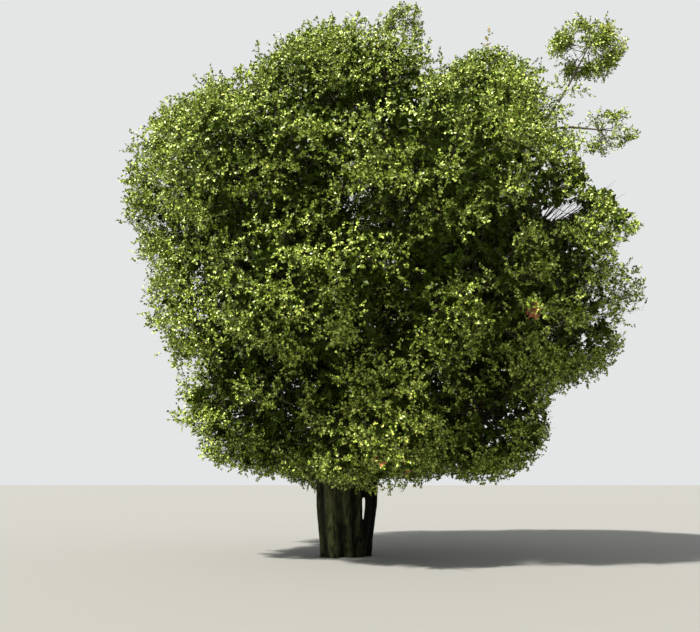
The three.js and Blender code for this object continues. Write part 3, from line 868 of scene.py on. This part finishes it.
# How far the clumps of a mass are set back or stand out, as a share of its half size
SET_BACK = (-0.16, 0.075)
for mass in masses:
    centre = mass["centre"]
    mm = 1000 * centre
    draw = seeded(round(mm[0] + mm[1] * 3 + mm[2] * 7))
    directions = branch_directions(mass, draw)
    wave = np.sin(directions[:, 0] * 5 + mm[0]) * np.sin(directions[:, 2] * 6 + mm[2])
    if mass["dense"]:
        skin = reach(mass, directions, 0.8 * (1 + 0.06 * wave), 0.96)
        tips = centre + (0.93 * skin)[:, None] * directions
        furthest = centre + reach(mass, directions)[:, None] * directions
        sunlit = crown_depth(furthest) > 0.80
        end = centre
    else:
        tips = centre + (0.68 * reach(mass, directions))[:, None] * directions
        sunlit = np.full(len(directions), True)
        end = centre + 0.35 * mass["half"][2] * unit(centre - mass["entry"])
    start = mass["entry"] + 0.0003 * mass["arrival"]
    forks = []
    for _ in directions:
        forks.append(start + (end - start) * (0.62 + 0.36 * draw()))
        # the source draws once more for each branch of a dense mass
        if mass["dense"]:
            draw()
    forks = np.array(forks)

    # The stem, bent as its bough arrives
    bend = start + 0.3 * norm(end - start) * mass["arrival"]
    t = np.linspace(0, 1, 7)[:, None]
    line = (1 - t) ** 2 * start + 2 * t * (1 - t) * bend + t**2 * end
    foot = STEM_FOOT if mass["dense"] else TUFT_STEM_FOOT
    branches.append(rods(line[None], np.linspace(foot, STEM_TIP, 7), 6))

    # Branches to the source's tips
    paths = bowed(forks, tips)
    keep = clear_of_limbs(paths[:, 1:])
    paths, sunlit = paths[keep], sunlit[keep]
    ways = unit(paths[:, -1] - paths[:, 0])
    branches.append(rods(paths, BRANCH_TAPER * (1 if mass["dense"] else TUFT_BRANCH)))

    # The leafy outside: a domed clump of shoots on each branch
    grow_clumps(mass, paths[sunlit], rng.uniform(*SET_BACK, sunlit.sum()), SEAM)
    if not mass["dense"]:
        inner = paths[:: mass["inner_step"], :3]
        grow_clumps(mass, inner, np.zeros(len(inner)), SEAM)
        continue

    # The shade inside: a few coarse shoots on every branch
    holds.append((mass, paths))
    base = along_path(paths, rng.uniform(0.35, 0.85, (len(paths), 3)))
    lateral = round_the_way(ways, 3, rng.uniform(0, 6.28, (len(ways), 1)))
    line = unit(0.5 * ways[:, None] + lateral).reshape(-1, 3)
    length = rng.uniform(0.5, 0.85, (len(line), 1))
    shoots, _ = fitted_shoots(mass, base.reshape(-1, 3), line, length, extra=-0.15)
    branches.append(rods(shoots, SHOOT_TAPER))
    shade_leaves(mass, shoots, count=16, length=0.14)

# The crown is searched for empty places between the masses, and the nearest branch sends a clump to each.
# The clumps near the surface are leafy, and the deeper ones shaded.
SEARCH_STEP = 0.42
LEAFY_DEPTH = 0.72
LEAFY_EMPTY = 0.55
SHADED_EMPTY = 0.75
MENDED_APART = 0.62
LONGEST_REACH = 2.4
ends = KDTree(sum(len(points) for points in leafy_ends))
for number, point in enumerate(np.concatenate(leafy_ends)):
    ends.insert(point, number)
ends.balance()
bases = np.concatenate([paths[:, k] for _, paths in holds for k in (1, 2)])
owners = np.concatenate([np.full(2 * len(paths), i) for i, (_, paths) in enumerate(holds)])


def nearest_branch(point):
    return int(norm(bases - point, axis=1).argmin())


steps = [np.arange(low, high, SEARCH_STEP) for low, high in zip(box_low + [0.2, 0.2, 1.7], box_high)]
places = np.stack(np.meshgrid(*steps), axis=-1).reshape(-1, 3)
places = places + rng.uniform(-0.15, 0.15, places.shape)
depth = crown_depth(places, MENDED_SEAM)
outer = depth < 0.97 - drawn_in(places)
mended = []
for point, deep in zip(places[outer], depth[outer]):
    if ends.find(point)[2] < (LEAFY_EMPTY if deep > LEAFY_DEPTH else SHADED_EMPTY):
        continue
    if any(norm(point - other) < MENDED_APART for other, _, _ in mended):
        continue
    nearest = nearest_branch(point)
    if norm(bases[nearest] - point) < LONGEST_REACH:
        mended.append((point, nearest, deep))

# Shaded clumps also close the places that light would shine through: the first one, and the way to the next
CHINKS = [
    ((-1.95, -2.0, 2.95), (-0.127, 1.0, 0.084)),
    ((0.51, -2.0, 6.98), (0.026, 1.0, 0.334)),
    ((3.30, -2.0, 2.95), (0.199, 1.0, 0.084)),
]
for chink, way in CHINKS:
    for step in range(5):
        point = np.array(chink) + step * np.array(way)
        mended.append((point, nearest_branch(point), 0.0))
for i, (mass, _) in enumerate(holds):
    for leafy in (True, False):
        mine = [(p, bases[n]) for p, n, deep in mended if owners[n] == i and (deep > LEAFY_DEPTH) == leafy]
        if not mine:
            continue
        tips, starts = map(np.array, zip(*mine))
        tips = tips - 0.3 * unit(tips - starts)
        paths = bowed(starts, tips)
        branches.append(rods(paths, MENDED_TAPER))
        if leafy:
            grow_clumps(mass, paths, np.zeros(len(paths)), MENDED_SEAM)
            continue
        base = along_path(paths, rng.uniform(0.3, 1, (len(paths), 4)))
        line = unit(rng.normal(0, 1, base.shape)).reshape(-1, 3)
        length = np.full((len(line), 1), 0.6)
        shoots, _ = fitted_shoots(mass, base.reshape(-1, 3), line, length, extra=-0.05, melt=4)
        branches.append(rods(shoots, SHOOT_TAPER))
        shade_leaves(mass, shoots, count=15, length=0.125)

# Leafy shoots on the leaders and boughs: in the shade between the masses, and in the light under the tufts,
# where FREE lets them stand outside the crown
FREE = 9.0
BOUGH_SHOOTS = (16, 0.60)
for mass in masses:
    count, room = mass.get("shoots", BOUGH_SHOOTS)
    if "curve" in mass:
        line = on_bough(mass, np.linspace(0.35, 0.98, count))
        way = unit(mass["curve"][3] - mass["curve"][0])
    else:
        heights = np.linspace(4.2, STEMS[mass["crowns"]][-1][0], 150)
        line = np.array([on_stem(mass["crowns"], height)[0] for height in heights])
        way = UP
    way = np.broadcast_to(way, line.shape)
    lateral = round_the_way(way[:1], len(line), rng.uniform(-0.4, 0.4, (1, len(line))))[0]
    length = rng.uniform(0.5, 0.95 if "curve" in mass else 1.7, (len(line), 1))
    if mass["dense"]:
        shoots, _ = fitted_shoots(mass, line, unit(0.45 * way + lateral), length, extra=-0.1, melt=2.5)
        shade_leaves(mass, shoots, count=14, length=0.15)
    else:
        outer = np.arange(len(line)) > 0.35 * len(line)
        upward = unit(0.6 * way + lateral)
        shoots, _ = fitted_shoots(masses[0], line[outer], upward[outer], length[outer] * room, FREE)
        leafy_twiglets(mass, shoots, np.full(len(shoots), FREE), *LEAFAGE)
    branches.append(rods(shoots, SHOOT_TAPER))

# Single sprigs that stand out of the crown, most on its top, each with its foot and tip
SPRIGS = [
    ((-2.10, 0.05, 11.30), (-2.22, 0.00, 12.25)),
    ((-0.90, 0.00, 11.90), (-0.95, 0.10, 12.85)),
    ((-0.45, 0.00, 12.00), (-0.36, -0.10, 12.92)),
    ((2.40, 0.10, 11.00), (2.32, 0.00, 12.05)),
    ((2.85, 0.10, 11.00), (2.76, 0.20, 11.92)),
    ((3.35, -0.10, 11.30), (3.50, -0.20, 12.42)),
    ((4.00, 0.00, 11.10), (4.10, 0.10, 12.00)),
    ((3.52, -3.20, 4.82), (3.41, -4.00, 4.57)),
]
shoots = np.array(SPRIGS)
owner = [mass for mass in masses if mass["tier"] == "crest"][0]
branches.append(rods(shoots, SHOOT_TAPER))
leafy_twiglets(owner, shoots, np.full(len(shoots), FREE), 12, 9, size=0.48)


def joined(name, chunks):
    """One mesh from chunks of corners, the faces of one copy, and a material number for each copy."""
    corners, faces, slots, start = [], [], [], 0
    for copies, shape, worn in chunks:
        n, k, _ = copies.shape
        corners.append(copies.reshape(-1, 3))
        faces.append((shape[None] + start + k * np.arange(n)[:, None, None]).reshape(-1, 3))
        slots.append(np.repeat(worn, len(shape)))
        start += n * k
    corners, faces, slots = np.concatenate(corners), np.concatenate(faces), np.concatenate(slots)
    mesh = bpy.data.meshes.new(name)
    mesh.from_pydata(corners.astype(np.float32), [], faces)
    mesh.polygons.foreach_set("material_index", slots.astype(np.int32))
    mesh.update()
    piece = bpy.data.objects.new(name, mesh)
    bpy.context.collection.objects.link(piece)
    return piece


twig_bark = bark_material(
    "twig bark",
    scale=40,
    stretch=(1, 1, 1),
    bump=0.001,
    bare=(0.110, 0.092, 0.064),
    fissure=(0.045, 0.036, 0.024),
    algae_tone=(0.120, 0.118, 0.075),
)
foliage_nodes = sorted(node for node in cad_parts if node.startswith("foliage_"))
for name, chunks in [("branches", branches), ("twiglets", twiglets)]:
    twigs = joined(name, [(corners, shape, np.zeros(len(corners))) for corners, shape in chunks])
    twigs.data.materials.append(twig_bark)
    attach(twigs, "root")
    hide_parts(*foliage_nodes)


# The leaves.
# Hornbeam leaves are ovate, folded a little along the midrib, yellow-green in the sun and deep green in the
# shade, and the leaves inside the crown are painted darker still as shade. They sit all round their
# twiglets, and each spray has a tone that its leaves vary.

# Each tone's colour and sheen. The leaves in the light take the tones from deep to yellow, by these shares.
# The dark and pale tones, dealt at random, are partly the leaves' own range and partly painted light and
# shade between single leaves.
LEAF_TONES = {
    # The shade tone is the deep green of shade leaves, made darker still as painted shade
    "leaf shade": ((0.038, 0.062, 0.004), 0.12),
    "leaf deep": ((0.056, 0.088, 0.006), 0.22),
    "leaf green": ((0.152, 0.225, 0.013), 0.40),
    "leaf olive": ((0.262, 0.350, 0.032), 0.50),
    "leaf bright": ((0.415, 0.500, 0.100), 0.60),
    "leaf yellow": ((0.510, 0.530, 0.095), 0.60),
    "leaf rust": ((0.430, 0.140, 0.060), 0.45),
}
SHARES = [0.0, 0.30, 0.52, 0.73, 0.985, 1.0]

# Where leaves differ from the rest: where they have turned, a lighter place high on the left, and a dark
# place low on the left that is painted shade. A place's middle and half sizes, the share of its leaves, and
# their tone
PLACES = [
    ((3.44, -3.80, 4.62), (0.10, 0.50, 0.15), 0.92, "leaf rust"),
    ((3.50, -0.20, 12.25), (0.30, 0.80, 0.35), 0.60, "leaf yellow"),
    ((3.50, -0.20, 12.25), (0.30, 0.80, 0.35), 0.16, "leaf rust"),
    ((-0.17, -3.15, 1.88), (0.10, 0.40, 0.10), 0.30, "leaf rust"),
    ((0.62, -3.60, 1.97), (0.14, 0.40, 0.10), 0.35, "leaf rust"),
    ((1.23, -2.95, 1.75), (0.15, 0.40, 0.09), 0.35, "leaf rust"),
    ((-1.40, -1.50, 10.95), (0.55, 0.55, 0.55), 0.35, "leaf yellow"),
    ((6.40, -0.20, 12.15), (0.50, 0.60, 0.45), 0.50, "leaf yellow"),
    ((0.70, -3.60, 2.20), (1.10, 1.10, 1.10), 0.10, "leaf yellow"),
    ((-3.20, -2.50, 9.30), (1.80, 2.50, 1.50), 0.16, "leaf bright"),
    # Painted shade: dark leaves low on the left, in the shade under the boughs above
    ((-1.90, -2.90, 1.90), (1.35, 1.35, 1.35), 0.70, "leaf deep"),
]


def leaf_material(name, tone, sheen):
    """A leaf's tone, a little lighter or darker from place to place, with a waxy sheen."""
    material, shader, add, link = new_material(name, sheen)
    place = add("ShaderNodeTexCoord")
    mottle = add("ShaderNodeTexNoise", {"Scale": 24, "Detail": 2})
    link(place, "Object", mottle, "Vector")
    light = add("ShaderNodeMapRange", {"From Min": 0.3, "From Max": 0.7, "To Min": 0.62, "To Max": 1.4})
    link(mottle, "Fac", light, "Value")
    varied = add("ShaderNodeHueSaturation", {"Color": (*tone, 1)})
    link(light, "Result", varied, "Value")
    link(varied, "Color", shader, "Base Color")
    gloss = add("ShaderNodeMapRange", {"From Min": 0.3, "From Max": 0.7, "To Min": 0.33, "To Max": 0.48})
    link(mottle, "Fac", gloss, "Value")
    link(gloss, "Result", shader, "Roughness")
    return material


leaf_materials = [leaf_material(name, *finish) for name, finish in LEAF_TONES.items()]

# A leaf's outline: along it, across it and out of it, as shares of its length and width, and its two faces
LEAF = np.array([(0, 0, 0), (1, 0, -0.10), (0.40, 0.5, 0.10), (0.40, -0.5, 0.10)])
LEAF_FACES = np.array([(0, 3, 1), (0, 1, 2)])
LEAF_WIDTH = 0.78
LEAF_SIZES = (0.70, 1.18)

grown = {}
for mass, root, blade, face, length, tone, room, melt in sprays:
    face = face + rng.normal(0, 0.9, blade.shape)
    across = unit(np.cross(face, blade))
    face = np.cross(blade, across)
    size = length * rng.uniform(*LEAF_SIZES, (*blade.shape[:2], 1))
    parts = (root, blade, across, face, size)
    root, blade, across, face, size = (x.reshape(-1, 1, x.shape[-1]) for x in parts)
    u, v, w = (LEAF[:, k][None, :, None] for k in range(3))
    corners = root + size * (blade * u + across * v * LEAF_WIDTH + face * w)
    keep = in_reach(mass, corners[:, 1], room.ravel(), melt)
    corners, worn = corners[keep], tone.ravel()[keep]
    slots = np.clip(np.searchsorted(SHARES, worn, side="right"), 1, len(SHARES) - 1)
    slots = np.where(worn < 0, 0, slots)
    for middle, half, share, other_tone in PLACES:
        near = norm((corners[:, 0] - middle) / half, axis=1) < 1
        if near.any():
            turned = near & (rng.random(len(near)) < share)
            slots = np.where(turned, list(LEAF_TONES).index(other_tone), slots)
    grown.setdefault(mass["name"], (mass, []))[1].append((corners, LEAF_FACES, slots))

# Neighbouring masses share a piece while it stays small enough
MOST_TRIANGLES = 190000
pieces = []
for mass, chunks in grown.values():
    count = sum(len(corners) * len(faces) for corners, faces, _ in chunks)
    last = pieces[-1] if pieces else None
    if last is None or last["tier"] != mass["tier"] or last["count"] + count > MOST_TRIANGLES:
        last = {"tier": mass["tier"], "count": 0, "chunks": [], "nodes": []}
        pieces.append(last)
    last["count"] += count
    last["chunks"] += chunks
    last["nodes"].append(f"foliage_{mass['name']}")
for number, made in enumerate(pieces):
    leaves = joined(f"leaves_{made['tier']}_{number + 1}", made["chunks"])
    for material in leaf_materials:
        leaves.data.materials.append(material)
    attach(leaves, "root")
    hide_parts(*made["nodes"])


# The stage.
# A plain pale floor and backdrop, a soft high sun from the upper left as in the photograph, and a camera at
# eye height some eighteen metres off, tipped up a little.

bpy.ops.mesh.primitive_plane_add(size=600, location=(0, 0, -0.002))
floor = bpy.context.object
floor.name = "floor"
floor_paint, floor_shader, *_ = new_material("pale floor")
floor_shader.inputs["Base Color"].default_value = (0.19, 0.19, 0.18, 1)
floor_shader.inputs["Roughness"].default_value = 0.9
floor.data.materials.append(floor_paint)

scene = bpy.context.scene
scene.view_settings.view_transform = "Standard"
world = scene.world or bpy.data.worlds.new("studio")
scene.world = world
world.use_nodes = True
backdrop = world.node_tree.nodes["Background"]
backdrop.inputs["Color"].default_value = (0.88, 0.90, 0.90, 1)
backdrop.inputs["Strength"].default_value = 0.88

bpy.ops.object.light_add(type="SUN", location=(-12, -10, 24))
sun = bpy.context.object
sun.name = "key light"
sun.data.energy = 10.2
sun.data.color = (1.0, 0.96, 0.88)
sun.data.angle = radians(3)
sun.rotation_euler = (radians(39), 0, radians(-48))

# The lens is 800 px long for a picture 700 px wide
EYE = (0.09, -18.1, 1.6)
TIPPED_UP = 11.65
SENSOR = 36
bpy.ops.object.camera_add(location=EYE, rotation=(radians(90 + TIPPED_UP), 0, 0))
camera = bpy.context.object
camera.data.sensor_width = SENSOR
camera.data.lens = SENSOR * 800 / 700
camera.data.clip_end = 400
scene.camera = camera
